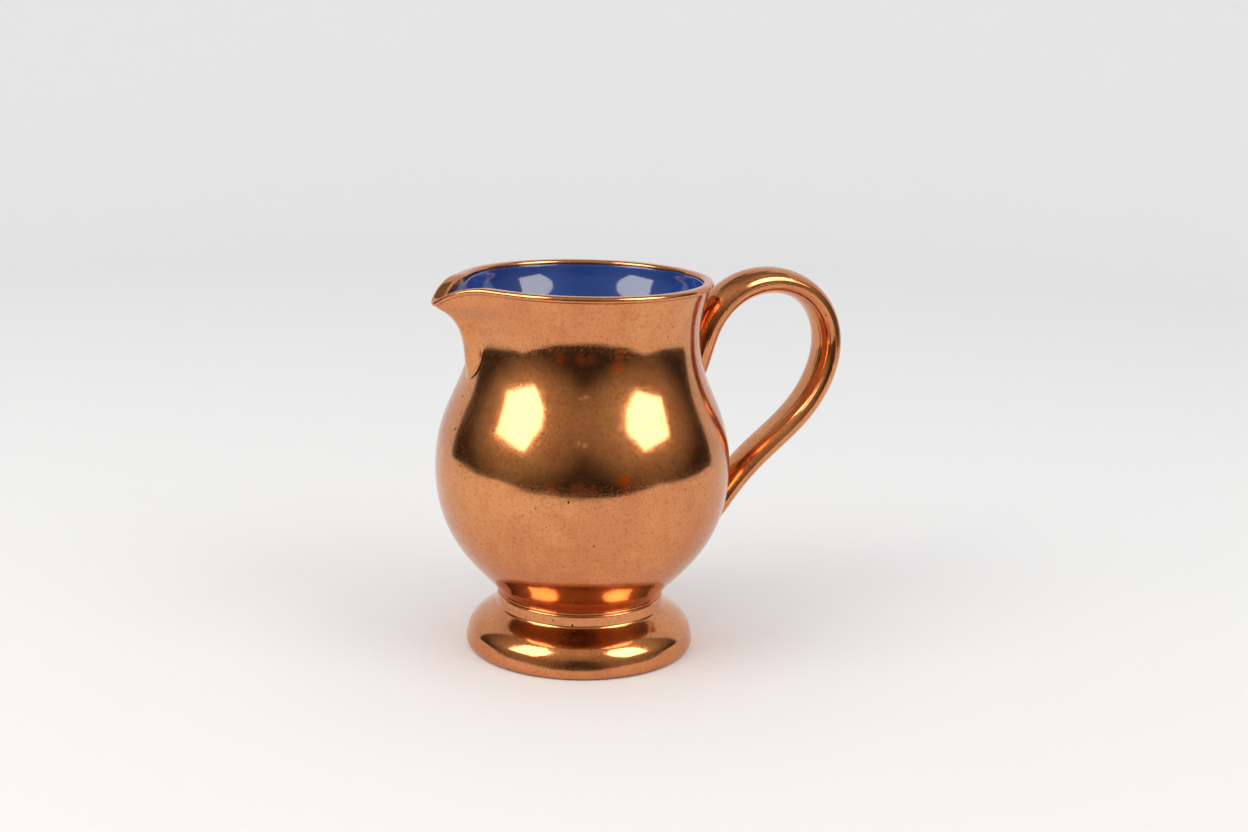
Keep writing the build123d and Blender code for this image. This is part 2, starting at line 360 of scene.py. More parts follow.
def lip_distance(angle, height, inwards=0.0):
    """How far the lip's level section reaches from the axis, at an angle from the lip's middle."""
    depth = rim_top - height
    reach, nose, lean = (smooth_through(depth, lip_stations[:, 0], lip_stations[:, k]) for k in (1, 2, 3))
    lean = np.radians(lean)
    reach = reach - 60 * np.clip((depth - 38) / 30, 0, 1) ** 2          # none of it low on the belly
    centre = np.maximum(reach + neck_radius - nose, 4.0)
    if inwards:
        inner_nose = np.maximum(nose - inwards, 1.2)
        centre = centre - (inner_nose + inwards - nose) / np.sin(lean)
        nose = inner_nose
    a = np.abs(angle)
    side = centre * np.sin(lean) + nose
    turn = np.clip(lean + a, 0.05, np.pi)
    straight = np.where(turn < np.pi / 2, side / np.sin(turn), side * np.sin(turn))
    round_nose = centre * np.cos(a) + np.sqrt(np.maximum(nose ** 2 - (centre * np.sin(a)) ** 2, 0))
    on_nose = (round_nose * np.sin(a) <= nose * np.cos(lean)) & (centre * np.sin(a) < nose)
    return np.where(on_nose, round_nose, straight)


def blend_out(a, b, softness):
    """The larger of two distances, with a rounded join."""
    return (a + b + np.sqrt((a - b) ** 2 + softness ** 2)) / 2


def outer_radius(angle, height):
    """The outside of bowl and lip together. The join is crisp low down and wiped smooth at the rim."""
    body = np.interp(height, outside[:, 1], outside[:, 0])
    up = np.clip((height - (rim_top - 27)) / 20, 0, 1)
    softness = 0.2 + 1.7 * up * up * (3 - 2 * up)
    return blend_out(body, lip_distance(angle, height), softness)


def inner_radius(angle, height):
    body = np.interp(height, inside[:, 1], inside[:, 0])
    return blend_out(body, lip_distance(angle, height, 2.8), 1.4)


def lip_half_turn(height):
    """Half the angle that the lip's foot covers, at a height."""
    known = np.array([(-60.0, 3.2), (99.3, 3.2), (100.2, 3.4), (102.1, 5.4), (104.0, 7.4), (106.3, 9.2),
                      (109.7, 9.8), (113.2, 10.5), (116.8, 12.6), (124.0, 21.0), (128.0, 26.5), (140.0, 27.0)])
    return np.radians(smooth_through(np.asarray(height, float), known[:, 0], known[:, 1]))


LIP_COLUMNS = 56                        # across the lip
SIDE_COLUMNS = 130                      # from the lip's edge round to the back, each side
lip_share = np.sin(np.linspace(-1, 1, LIP_COLUMNS + 1) * 1.25) / math.sin(1.25)
side_share = np.linspace(0, 1, SIDE_COLUMNS + 1)[1:]
side_share = side_share + 0.55 * (side_share ** 1.5 - side_share)
AROUND = LIP_COLUMNS + 2 * SIDE_COLUMNS
LIP_FIRST = SIDE_COLUMNS - 1            # first column of the lip
LIP_LAST = LIP_FIRST + LIP_COLUMNS


def column_angles(level_height):
    """The columns' angles on one row; they follow the lip's edge."""
    half = float(lip_half_turn(level_height))
    right = half + (math.pi - half) * side_share
    return np.concatenate([-right[:-1][::-1], half * lip_share, right])


rim_angles = column_angles(rim_top)
drop = np.zeros(AROUND)
dip, dip_reach = 7.6, 13.4              # how far the rim dips at the lip's tip, and over what reach
bend = (dip_reach ** 2 + dip ** 2) / (2 * dip)
for _ in range(80):
    plan = outer_radius(rim_angles, rim_top - drop - 2 * bead_radius + 0.2)
    past = np.clip(plan * np.cos(rim_angles) + bead_radius - rim_radius, 0, dip_reach)
    drop = 0.8 * drop + 0.2 * (bend - np.sqrt(bend ** 2 - past ** 2))
tops = rim_top - drop


def place(angle, radius, height):
    """Points in metres; angle 0 is the middle of the lip, on -X."""
    return np.stack([-radius * np.cos(angle), -radius * np.sin(angle), height + 0 * radius], -1) * MM


def sagging(level_height):
    """A row's heights outside: level low down, following the dipping edge higher up."""
    share = np.clip((level_height - dip_outside) / (rim_edge - dip_outside), 0, 1)
    return level_height - drop * share ** 1.5


outer_levels = np.concatenate([np.linspace(waist_height, 86, 84), np.linspace(86, rim_edge, 70)[1:]])
outer_rows = []
for level_height in outer_levels:
    turn = column_angles(level_height)
    height = sagging(level_height)
    outer_rows.append(place(turn, outer_radius(turn, height), height))

px, py = -plan * np.cos(rim_angles), -plan * np.sin(rim_angles)
inner_plan = inner_radius(rim_angles, tops - rim_face)
qx, qy = -inner_plan * np.cos(rim_angles), -inner_plan * np.sin(rim_angles)
tx, ty = np.roll(px, -1) - np.roll(px, 1), np.roll(py, -1) - np.roll(py, 1)
length = np.hypot(tx, ty)
nx, ny = ty / length, -tx / length
facing = np.sign(nx * px + ny * py)
nx, ny = nx * facing, ny * facing
across = np.hypot(qx - px, qy - py)
ix, iy = (qx - px) / across, (qy - py) / across


def bead_point(turn):
    out = bead_radius * math.cos(turn)
    return np.stack([px + out * nx, py + out * ny, tops - bead_radius + bead_radius * math.sin(turn)], -1) * MM


def edge_point(turn):
    run = across - 1.1 + 1.1 * math.sin(turn)
    return np.stack([px + run * ix, py + run * iy, tops - 1.1 + 1.1 * math.cos(turn)], -1) * MM


bead_rows = [bead_point(a) for a in np.radians(np.linspace(-72, 90, 15))]
bead_rows += [bead_rows[-1] * 0.5 + edge_point(0.0) * 0.5]
bead_rows += [edge_point(a) for a in np.radians(np.linspace(0, 84, 9))]

def inside_dip(level_height):
    """The share of the rim's dip that the inside has at a height."""
    return np.clip((level_height - dip_inside) / (rim_top - rim_face - dip_inside), 0, 1) ** 1.5


inner_levels = np.concatenate([np.linspace(rim_top - rim_face, 88, 62), np.linspace(88, floor_bend, 30)[1:]])
inner_rows = []
for level_height in inner_levels:
    turn = column_angles(level_height)
    height = level_height - drop * inside_dip(level_height)
    inner_rows.append(place(turn, inner_radius(turn, height), height))
floor_radius = np.interp(floor_bend, inside[:, 1], inside[:, 0])
low_part = inside[inside[:, 1] < floor_bend + 0.5]
for share in np.linspace(1, 0.02, 24)[1:]:
    radius = floor_radius * share
    inner_rows.append(place(column_angles(floor_bend), np.full(AROUND, radius),
                            np.interp(radius, low_part[:, 0], low_part[:, 1])))


def stitched(rows, closed, columns):
    """Faces between neighbouring rows of points."""
    n = columns
    last = n if closed else n - 1
    return [(i * n + j, i * n + (j + 1) % n, (i + 1) * n + (j + 1) % n, (i + 1) * n + j)
            for i in range(len(rows) - 1) for j in range(last)]


def face_outwards(made):
    shape = bmesh.new()
    shape.from_mesh(made.data)
    bmesh.ops.recalc_face_normals(shape, faces=shape.faces)
    if shape.calc_volume(signed=True) < 0:
        bmesh.ops.reverse_faces(shape, faces=shape.faces)
    shape.to_mesh(made.data)
    shape.free()
    made.data.shade_smooth()


base_rows = [place(column_angles(waist_height), np.full(AROUND, r), waist_height)
             for r in (0.4, 10.0, 20.0, 26.0, 28.4, 28.75)]
all_rows = base_rows + outer_rows + bead_rows + inner_rows
whole = mesh_object("whole_body", np.vstack(all_rows), stitched(all_rows, True, AROUND))
face_outwards(whole)
wall_normals = np.zeros(len(whole.data.vertices) * 3)
whole.data.vertices.foreach_get("normal", wall_normals)
wall_normals = wall_normals.reshape(len(all_rows), AROUND, 3)
if (wall_normals[60] * all_rows[60]).sum() < 0:
    wall_normals = -wall_normals
bpy.data.objects.remove(whole)

CREASE_ROW = len(base_rows) + int(np.searchsorted(outer_levels, 98.8))
RIM_ROW = len(base_rows) + len(outer_rows) + 16         # where outer and inner surface meet on the rim
INNER_ROW = len(base_rows) + len(outer_rows) + len(bead_rows) + int(np.argmin(np.abs(inner_levels - 99.0)))


def in_lip(i, j):
    return CREASE_ROW <= i < INNER_ROW and LIP_FIRST <= j < LIP_LAST


def zipped(first, second):
    """Triangles between two lines of points that end in the same point."""
    faces = []
    i = j = 0
    while i < len(first) - 1 or j < len(second) - 1:
        if j == len(second) - 1 or (i < len(first) - 1 and (i + 1) / len(first) <= (j + 1) / len(second)):
            faces.append((first[i], first[i + 1], second[j]))
            i += 1
        else:
            faces.append((first[i], second[j + 1], second[j]))
            j += 1
    return [f for f in faces if len(set(f)) == 3]


# the cut through the clay between bowl and lip: a wall up each side and one along the bottom
cut = []
for j in (LIP_FIRST, LIP_LAST):
    cut += zipped([(i, j) for i in range(CREASE_ROW, RIM_ROW + 1)],
                  [(i, j) for i in range(INNER_ROW, RIM_ROW - 1, -1)])
cut += [((CREASE_ROW, j), (CREASE_ROW, j + 1), (INNER_ROW, j + 1), (INNER_ROW, j))
        for j in range(LIP_FIRST, LIP_LAST)]


def wall_piece(name, keep, caps, material):
    """A closed piece of the wall, shaded with the whole wall's normals so that no seam shows."""
    shape = bmesh.new()
    verts = {}

    def vert(i, j):
        key = (i, j % AROUND)
        if key not in verts:
            verts[key] = shape.verts.new(all_rows[key[0]][key[1]])
        return verts[key]

    for i in range(len(all_rows) - 1):
        for j in range(AROUND):
            if keep(i, j):
                shape.faces.new([vert(i, j), vert(i, j + 1), vert(i + 1, j + 1), vert(i + 1, j)])
    for corners in cut:
        shape.faces.new([vert(*c) for c in corners])
    for i in caps:
        shape.faces.new([vert(i, j) for j in range(AROUND)])
    bmesh.ops.recalc_face_normals(shape, faces=shape.faces)
    shape.verts.index_update()
    keys = sorted(verts, key=lambda k: verts[k].index)
    mesh = bpy.data.meshes.new(name)
    shape.to_mesh(mesh)
    shape.free()
    made = bpy.data.objects.new(name, mesh)
    bpy.context.collection.objects.link(made)
    mesh.materials.append(material)
    mesh.shade_smooth()
    mesh.normals_split_custom_set_from_vertices([tuple(wall_normals[k]) for k in keys])
    return made


lustre, tree = new_material("copper_lustre_glaze")
where = add_node(tree, "ShaderNodeTexCoord").outputs["Object"]
cloud = add_node(tree, "ShaderNodeTexNoise", inputs={"Vector": where, "Scale": 38.0, "Detail": 5.0,
                                                     "Roughness": 0.6, "Distortion": 0.4})
drift = add_node(tree, "ShaderNodeTexNoise", inputs={"Vector": where, "Scale": 140.0, "Detail": 3.0})
grain = add_node(tree, "ShaderNodeTexNoise", inputs={"Vector": where, "Scale": 2600.0, "Detail": 2.0,
                                                     "Roughness": 0.7})
film = mixed(tree, spread(tree, cloud.outputs["Fac"], 0.34, 0.68), linear("#d38a5c"), linear("#de9763"))
mottle = add_node(tree, "ShaderNodeTexNoise", inputs={"Vector": where, "Scale": 850.0, "Detail": 3.0})
film = mixed(tree, spread(tree, drift.outputs["Fac"], 0.42, 0.72, 0.0, 0.34), film, linear("#bf7348"))
film = mixed(tree, spread(tree, mottle.outputs["Fac"], 0.46, 0.74, 0.0, 0.42), film, linear("#a8613a"))
film = mixed(tree, spread(tree, grain.outputs["Fac"], 0.46, 0.72, 0.0, 0.30), film, linear("#b8663d"))
film = mixed(tree, spread(tree, grain.outputs["Fac"], 0.46, 0.24, 0.0, 0.22), film, linear("#f0b07c"))


def pinholes(scale, radius, share, softness):
    """Spots of a size in metres, in a share of the cells, over the whole surface."""
    cells = add_node(tree, "ShaderNodeTexVoronoi", inputs={"Vector": where, "Scale": scale})
    chance = add_node(tree, "ShaderNodeSeparateColor", inputs={0: cells.outputs["Color"]})
    chosen = sum_of(tree, "LESS_THAN", chance.outputs[0], share)
    size = spread(tree, chance.outputs[1], 0.0, 1.0, 0.55 * radius * scale, 1.2 * radius * scale, "LINEAR")
    ratio = sum_of(tree, "DIVIDE", cells.outputs["Distance"], size)
    return sum_of(tree, "MULTIPLY", spread(tree, ratio, 1.0, softness, 0.0, 1.0), chosen)


patchy = spread(tree, add_node(tree, "ShaderNodeTexNoise", inputs={
    "Vector": where, "Scale": 55.0, "Detail": 2.0}).outputs["Fac"], 0.42, 0.66, 0.35, 1.0)
fine_holes = sum_of(tree, "MULTIPLY", pinholes(620.0, 0.00030, 0.30, 0.4), patchy)
wide_holes = pinholes(200.0, 0.00052, 0.42, 0.5)
holes = sum_of(tree, "MAXIMUM", fine_holes, wide_holes)
film = mixed(tree, sum_of(tree, "MULTIPLY", holes, 0.94), film, linear("#3a1a0c"))
haze = spread(tree, grain.outputs["Fac"], 0.40, 0.70, 0.055, 0.24)
haze = sum_of(tree, "ADD", haze, spread(tree, cloud.outputs["Fac"], 0.4, 0.7, 0.0, 0.035))
haze = sum_of(tree, "ADD", haze, sum_of(tree, "MULTIPLY", holes, 0.25))
lumps = add_node(tree, "ShaderNodeTexNoise", inputs={"Vector": where, "Scale": 60.0, "Detail": 1.0})
turning = add_node(tree, "ShaderNodeTexNoise", inputs={
    "Vector": add_node(tree, "ShaderNodeMapping", inputs={
        "Vector": where, "Scale": (6.0, 6.0, 170.0)}).outputs[0], "Scale": 1.0, "Detail": 2.0})
height = sum_of(tree, "MULTIPLY", lumps.outputs["Fac"], 0.00022)
height = sum_of(tree, "ADD", height, sum_of(tree, "MULTIPLY", turning.outputs["Fac"], 0.00006))
height = sum_of(tree, "ADD", height, sum_of(tree, "MULTIPLY", grain.outputs["Fac"], 0.000006))
height = sum_of(tree, "SUBTRACT", height, sum_of(tree, "MULTIPLY", holes, 0.00002))
relief = add_node(tree, "ShaderNodeBump", inputs={"Strength": 1.0, "Distance": 1.0, "Height": height})
shader = add_node(tree, "ShaderNodeBsdfPrincipled", inputs={
    "Base Color": film, "Metallic": 1.0, "Roughness": haze, "Normal": relief.outputs["Normal"]})
add_node(tree, "ShaderNodeOutputMaterial", inputs={"Surface": shader.outputs[0]})

bowl = wall_piece("thrown_bowl", lambda i, j: not in_lip(i, j), (0, len(all_rows) - 1), lustre)
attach(bowl, "root")
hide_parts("bowl")


# ---------------------------------------------------------------------------------------------------
# Pouring lip: a sheet of the same clay pressed into a beak and stuck over the gap in the collar. Its
# ridge is crisp where it leaves the neck and its sides run smoothly into the rim.
lip = wall_piece("pressed_pouring_lip", in_lip, (), lustre)
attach(lip, "root")
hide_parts("pouring_lip")


# ---------------------------------------------------------------------------------------------------
# Slip round the lip: a wiped line of slip in the crease between lip and neck, under the same lustre.
def tube(name, centres, radii, sides, closed, material):
    """A round tube along points, closed on itself or with flat caps at its ends."""
    centres = np.array(centres, float)
    count = len(centres)
    if closed:
        along = np.roll(centres, -1, 0) - np.roll(centres, 1, 0)
    else:
        along = np.gradient(centres, axis=0)
    along /= np.linalg.norm(along, axis=1)[:, None]
    side = np.cross(along, (0.31, 0.17, 0.93))
    side /= np.linalg.norm(side, axis=1)[:, None]
    other = np.cross(along, side)
    turn = np.linspace(0, 2 * np.pi, sides, endpoint=False)
    ring = np.cos(turn)[:, None, None] * side + np.sin(turn)[:, None, None] * other
    points = (centres + ring * np.array(radii)[:, None]).transpose(1, 0, 2).reshape(-1, 3)
    faces = [(i * sides + j, i * sides + (j + 1) % sides,
              ((i + 1) % count) * sides + (j + 1) % sides, ((i + 1) % count) * sides + j)
             for i in range(count if closed else count - 1) for j in range(sides)]
    if not closed:
        faces += [tuple(range(sides)), tuple((count - 1) * sides + j for j in range(sides))]
    made = mesh_object(name, points, faces, material)
    face_outwards(made)
    return made


CREASE_FOOT, CREASE_HEAD = 99.6, 114.0
SLIP_RADIUS = 0.46
crease = []
for side in (-1, 1):
    heights = np.linspace(CREASE_HEAD, CREASE_FOOT, 60)[::-side][side > 0:]
    turn = side * lip_half_turn(heights)
    crease.append(place(turn, outer_radius(turn, heights) - SLIP_RADIUS, heights))
crease = np.vstack(crease)
wiped = SLIP_RADIUS * MM * np.sin(np.linspace(0.12, math.pi - 0.12, len(crease))) ** 0.3
lip_slip = tube("slip_round_the_lip", crease, wiped, 16, False, lustre)
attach(lip_slip, "root")
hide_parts("lip_luting")


# ---------------------------------------------------------------------------------------------------
# Blue lining: cobalt glaze poured in and out again, so it covers everything inside and stops in a
# gently wavering line under the rim, thinner at its edge and lower along the lip.
SKIN = 0.4                              # thickness over the clay
BURIED = -0.25                          # how far it has sunk into the clay
wander = (0.28 * np.sin(3.0 * rim_angles + 0.6) + 0.2 * np.sin(7.0 * rim_angles + 2.1)
          + 0.1 * np.sin(16 * rim_angles))
lip_part = np.exp(-(rim_angles / 0.55) ** 2)
glaze_drop = 1.5 + 0.4 * wander + 1.9 * lip_part


def lining_row(level_height, skin, top):
    """A row on the inside of the wall, moved off it by a skin and held below the lining's edge."""
    turn = column_angles(level_height)
    height = level_height - drop * inside_dip(level_height)
    height = np.minimum(height, top)
    return place(turn, inner_radius(turn, height) - skin, height)


def floor_row(share, skin):
    radius = (floor_radius - skin) * share
    level_height = np.interp(radius + skin * share, low_part[:, 0], low_part[:, 1]) + skin * (1 - share)
    return place(column_angles(floor_bend), np.full(AROUND, radius), np.full(AROUND, level_height))


shares = np.linspace(0.02, 1, 24)
edge = tops - glaze_drop
glaze_rows = [floor_row(share, BURIED) for share in shares[:-1]]
glaze_rows += [lining_row(level_height, BURIED, edge - 0.1) for level_height in inner_levels[:2:-1]]
glaze_rows += [place(rim_angles, inner_radius(rim_angles, edge - below) - skin, edge - below)
               for below, skin in ((0.05, -0.12), (0.0, 0.03), (0.1, 0.14), (0.4, 0.25), (1.0, 0.33))]
glaze_rows += [lining_row(level_height, SKIN, edge - 1.3) for level_height in inner_levels[3:]]
glaze_rows += [floor_row(share, SKIN) for share in shares[-2::-1]]
glaze_faces = stitched(glaze_rows, True, AROUND)
last_row = (len(glaze_rows) - 1) * AROUND
glaze_faces += [tuple(range(last_row, last_row + AROUND)), tuple(range(AROUND))]

blue_glaze, tree = new_material("cobalt_blue_glaze")
where = add_node(tree, "ShaderNodeTexCoord").outputs["Object"]
pool = add_node(tree, "ShaderNodeTexNoise", inputs={"Vector": where, "Scale": 45.0, "Detail": 4.0})
speck = add_node(tree, "ShaderNodeTexNoise", inputs={"Vector": where, "Scale": 1500.0, "Detail": 2.0})
blue = mixed(tree, spread(tree, pool.outputs["Fac"], 0.35, 0.7), linear("#1d3f86"), linear("#28509c"))
blue = mixed(tree, spread(tree, speck.outputs["Fac"], 0.5, 0.75, 0.0, 0.35), blue, linear("#142c66"))
ripple = add_node(tree, "ShaderNodeTexNoise", inputs={"Vector": where, "Scale": 90.0, "Detail": 1.0})
relief = add_node(tree, "ShaderNodeBump", inputs={
    "Strength": 1.0, "Distance": 1.0, "Height": sum_of(tree, "MULTIPLY", ripple.outputs["Fac"], 0.00012)})
shader = add_node(tree, "ShaderNodeBsdfPrincipled", inputs={
    "Base Color": blue, "IOR": 1.56, "Normal": relief.outputs["Normal"],
    "Roughness": spread(tree, speck.outputs["Fac"], 0.3, 0.8, 0.05, 0.14)})
add_node(tree, "ShaderNodeOutputMaterial", inputs={"Surface": shader.outputs[0]})

lining = mesh_object("blue_lining", np.vstack(glaze_rows), glaze_faces, blue_glaze)
face_outwards(lining)
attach(lining, "root")
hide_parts("blue_glaze_lining")


# ---------------------------------------------------------------------------------------------------
# Foot: a flared ring thrown separately and turned on the wheel, hollow underneath. It is lustred like
# the bowl outside, has thin brown glaze underneath, and stands on a ring of bare red clay.
foot_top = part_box("foot")[1].z / MM

red_clay, tree = new_material("bare_red_earthenware")
where = add_node(tree, "ShaderNodeTexCoord").outputs["Object"]
tooth = add_node(tree, "ShaderNodeTexNoise", inputs={"Vector": where, "Scale": 1800.0, "Detail": 3.0})
rub = add_node(tree, "ShaderNodeTexNoise", inputs={"Vector": where, "Scale": 160.0, "Detail": 3.0})
clay = mixed(tree, spread(tree, rub.outputs["Fac"], 0.35, 0.7), linear("#8e4a30"), linear("#a86142"))
clay = mixed(tree, spread(tree, tooth.outputs["Fac"], 0.5, 0.75, 0.0, 0.4), clay, linear("#5d2d1d"))
relief = add_node(tree, "ShaderNodeBump", inputs={
    "Strength": 1.0, "Distance": 1.0, "Height": sum_of(tree, "MULTIPLY", tooth.outputs["Fac"], 0.00005)})
shader = add_node(tree, "ShaderNodeBsdfPrincipled", inputs={
    "Base Color": clay, "Roughness": 0.85, "Normal": relief.outputs["Normal"]})
add_node(tree, "ShaderNodeOutputMaterial", inputs={"Surface": shader.outputs[0]})

brown_glaze, tree = new_material("thin_brown_glaze")
where = add_node(tree, "ShaderNodeTexCoord").outputs["Object"]
run = add_node(tree, "ShaderNodeTexNoise", inputs={"Vector": where, "Scale": 120.0, "Detail": 4.0})
brown = mixed(tree, spread(tree, run.outputs["Fac"], 0.35, 0.7), linear("#4a2414"), linear("#7a4322"))
shader = add_node(tree, "ShaderNodeBsdfPrincipled", inputs={
    "Base Color": brown, "Roughness": spread(tree, run.outputs["Fac"], 0.3, 0.7, 0.12, 0.35)})
add_node(tree, "ShaderNodeOutputMaterial", inputs={"Surface": shader.outputs[0]})

t = np.linspace(0, 1, 73)
shoulder = bezier([(28.9, foot_top), (29.45, foot_top), (29.5, 18.9), (29.55, 18.2)], t[::8])
collar = bezier([(29.55, 18.2), (29.6, 17.4), (29.65, 16.7), (29.7, 15.9)], t[::8])
turn_out = bezier([(29.7, 15.9), (29.75, 15.1), (30.3, 14.8), (31.2, 14.2)], t[::6])
flare = bezier([(31.2, 14.2), (33.6, 12.6), (38.5, 10.4), (39.6, 6.4)], t)
edge_run = bezier([(39.6, 6.4), (40.1, 4.6), (40.3, 3.4), (40.42, 2.4)], t[::4])
roll = bezier([(40.42, 2.4), (40.5, 1.0), (39.7, 0.0), (38.4, 0.0)], t[::3])
throat = bezier([(33.2, 0.0), (31.0, 7.0), (25.0, 11.6), (22.9, 14.2)], t[::3])
section = np.vstack([[(22.5, foot_top), (28.3, foot_top)], shoulder, collar[1:], turn_out[1:], flare[1:],
                     edge_run[1:], roll[1:], [(36.0, 0.0), (33.6, 0.0)], throat, [(22.5, 15.2), (22.5, foot_top)]])

section_mesh = bpy.data.meshes.new("foot_section")
section_mesh.from_pydata([(r * MM, 0, z * MM) for r, z in section],
                         [(i, i + 1) for i in range(len(section) - 1)], [])
foot = bpy.data.objects.new("turned_foot", section_mesh)
bpy.context.collection.objects.link(foot)

lathe = bpy.data.node_groups.new("lathe", "GeometryNodeTree")
lathe.interface.new_socket("Geometry", in_out="INPUT", socket_type="NodeSocketGeometry")
steps_in = lathe.interface.new_socket("Steps", in_out="INPUT", socket_type="NodeSocketInt")
glaze_in = lathe.interface.new_socket("Material", in_out="INPUT", socket_type="NodeSocketMaterial")
lathe.interface.new_socket("Geometry", in_out="OUTPUT", socket_type="NodeSocketGeometry")
given = add_node(lathe, "NodeGroupInput")
outline = add_node(lathe, "GeometryNodeMeshToCurve", inputs={0: given.outputs["Geometry"]})
points_count = len(section)
sheet = add_node(lathe, "GeometryNodeMeshGrid", inputs={
    "Size X": 1.0, "Size Y": 1.0, "Vertices X": given.outputs["Steps"], "Vertices Y": points_count})
spot = add_node(lathe, "ShaderNodeSeparateXYZ", inputs={0: add_node(lathe, "GeometryNodeInputPosition").outputs[0]})
round_turn = sum_of(lathe, "MULTIPLY", sum_of(lathe, "ADD", spot.outputs["X"], 0.5), 2 * math.pi)
row = sum_of(lathe, "ROUND", sum_of(lathe, "MULTIPLY", sum_of(lathe, "ADD", spot.outputs["Y"], 0.5),
                                    float(points_count - 1)))
outline_place = add_node(lathe, "GeometryNodeSampleIndex", {"data_type": "FLOAT_VECTOR", "domain": "POINT"}, {
    "Geometry": outline.outputs[0], "Value": add_node(lathe, "GeometryNodeInputPosition").outputs[0],
    "Index": row})
turned_place = add_node(lathe, "ShaderNodeVectorRotate", {"rotation_type": "Z_AXIS"}, {
    "Vector": outline_place.outputs[0], "Angle": round_turn})
moved = add_node(lathe, "GeometryNodeSetPosition", inputs={
    "Geometry": sheet.outputs[0], "Position": turned_place.outputs[0]})
joined = add_node(lathe, "GeometryNodeMergeByDistance", inputs={0: moved.outputs[0], "Distance": 1e-6})
real = add_node(lathe, "GeometryNodeRealizeInstances", inputs={0: joined.outputs[0]})
dressed = add_node(lathe, "GeometryNodeSetMaterial", inputs={
    "Geometry": real.outputs[0], "Material": given.outputs["Material"]})
add_node(lathe, "NodeGroupOutput", inputs={0: dressed.outputs[0]})


def baked(made, tree, values):
    """Gives a piece the tree's result as its own mesh."""
    modifier = made.modifiers.new(tree.name, "NODES")
    modifier.node_group = tree
    for socket, value in values.items():
        modifier[socket.identifier] = value
    graph = bpy.context.evaluated_depsgraph_get()
    mesh = bpy.data.meshes.new_from_object(made.evaluated_get(graph))
    made.modifiers.clear()
    made.data = mesh
    return made


baked(foot, lathe, {steps_in: 289, glaze_in: lustre})
face_outwards(foot)
foot.data.materials.clear()
for material in (lustre, red_clay, brown_glaze):
    foot.data.materials.append(material)
for face in foot.data.polygons:
    r, z = math.hypot(face.center.x, face.center.y) / MM, face.center.z / MM
    standing = z < 0.3 and r < 39.5
    underneath = r < 33.3 - 0.3 * z and z < foot_top - 0.5 and face.normal.z < 0.3
    face.material_index = 1 if standing else 2 if underneath else 0
foot.data.shade_smooth()
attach(foot, "root")
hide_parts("foot")


# ---------------------------------------------------------------------------------------------------
# Slip under the bowl: foot and bowl are thrown apart, scored and stuck together with slip. What is
# squeezed out is wiped off with a finger and leaves this thin ring in the joint, lustred with the rest.
RING_RADIUS, RING_HEIGHT, RING_THICK = 28.5, 19.75, 0.45
ring_turn = np.linspace(0, 2 * np.pi, 240, endpoint=False)
ring = np.stack([RING_RADIUS * np.cos(ring_turn), RING_RADIUS * np.sin(ring_turn),
                 RING_HEIGHT + 0 * ring_turn], -1) * MM
foot_slip = tube("slip_under_the_bowl", ring, RING_THICK * MM + 0 * ring_turn, 14, True, lustre)
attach(foot_slip, "root")
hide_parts("foot_luting")


# ---------------------------------------------------------------------------------------------------
# Handle: a strap of clay pulled by wet hand, so its oval section carries fine lines along its length,
# thick where it springs from the neck and tapering to a tail on the belly.
# Stations along its middle line: distance from the jug's axis, height, thickness, width.
strap = np.array([
    (36.9, 87.0, 5.0, 7.0), (41.2, 96.8, 9.4, 13.0), (46.0, 113.2, 10.6, 16.2), (57.5, 125.4, 10.1, 16.2),
    (75.4, 128.0, 9.2, 16.2), (86.8, 122.8, 8.7, 16.2), (92.3, 116.2, 8.7, 16.2), (95.3, 106.6, 8.7, 16.2),
    (93.7, 94.3, 8.7, 16.2), (84.4, 79.2, 8.7, 16.2), (66.8, 63.9, 8.7, 16.2), (54.3, 50.4, 8.7, 16.2),
    (47.1, 40.8, 7.7, 14.5), (39.3, 32.8, 5.0, 10.0), (31.7, 27.0, 3.6, 6.0)])
chord = np.concatenate([[0], np.cumsum(np.hypot(np.diff(strap[:, 0]), np.diff(strap[:, 1])))])


def spline_through(x, known_x, known_y):
    """The natural cubic curve through the stations, as a bent strip would lie."""
    n = len(known_x)
    h = np.diff(known_x)
    system = np.eye(n)
    right = np.zeros(n)
    for k in range(1, n - 1):
        system[k, k - 1:k + 2] = h[k - 1], 2 * (h[k - 1] + h[k]), h[k]
        right[k] = 6 * ((known_y[k + 1] - known_y[k]) / h[k] - (known_y[k] - known_y[k - 1]) / h[k - 1])
    bend = np.linalg.solve(system, right)
    i = np.clip(np.searchsorted(known_x, x) - 1, 0, n - 2)
    a, b = known_x[i + 1] - x, x - known_x[i]
    return (bend[i] * a ** 3 + bend[i + 1] * b ** 3) / (6 * h[i]) \
        + (known_y[i] / h[i] - bend[i] * h[i] / 6) * a + (known_y[i + 1] / h[i] - bend[i + 1] * h[i] / 6) * b


along = np.linspace(0, chord[-1], 300)
path_x, path_z = (spline_through(along, chord, strap[:, k]) for k in (0, 1))
thick, wide = (smooth_through(along, chord, strap[:, k]) / 2 for k in (2, 3))
chain = bpy.data.meshes.new("handle_line")
chain.from_pydata([(x * MM, 0, z * MM) for x, z in zip(path_x, path_z)],
                  [(i, i + 1) for i in range(len(path_x) - 1)], [])
for name, values in (("half_thickness", thick), ("half_width", wide)):
    chain.attributes.new(name, "FLOAT", "POINT").data.foreach_set("value", values * MM)
handle = bpy.data.objects.new("pulled_handle", chain)
bpy.context.collection.objects.link(handle)

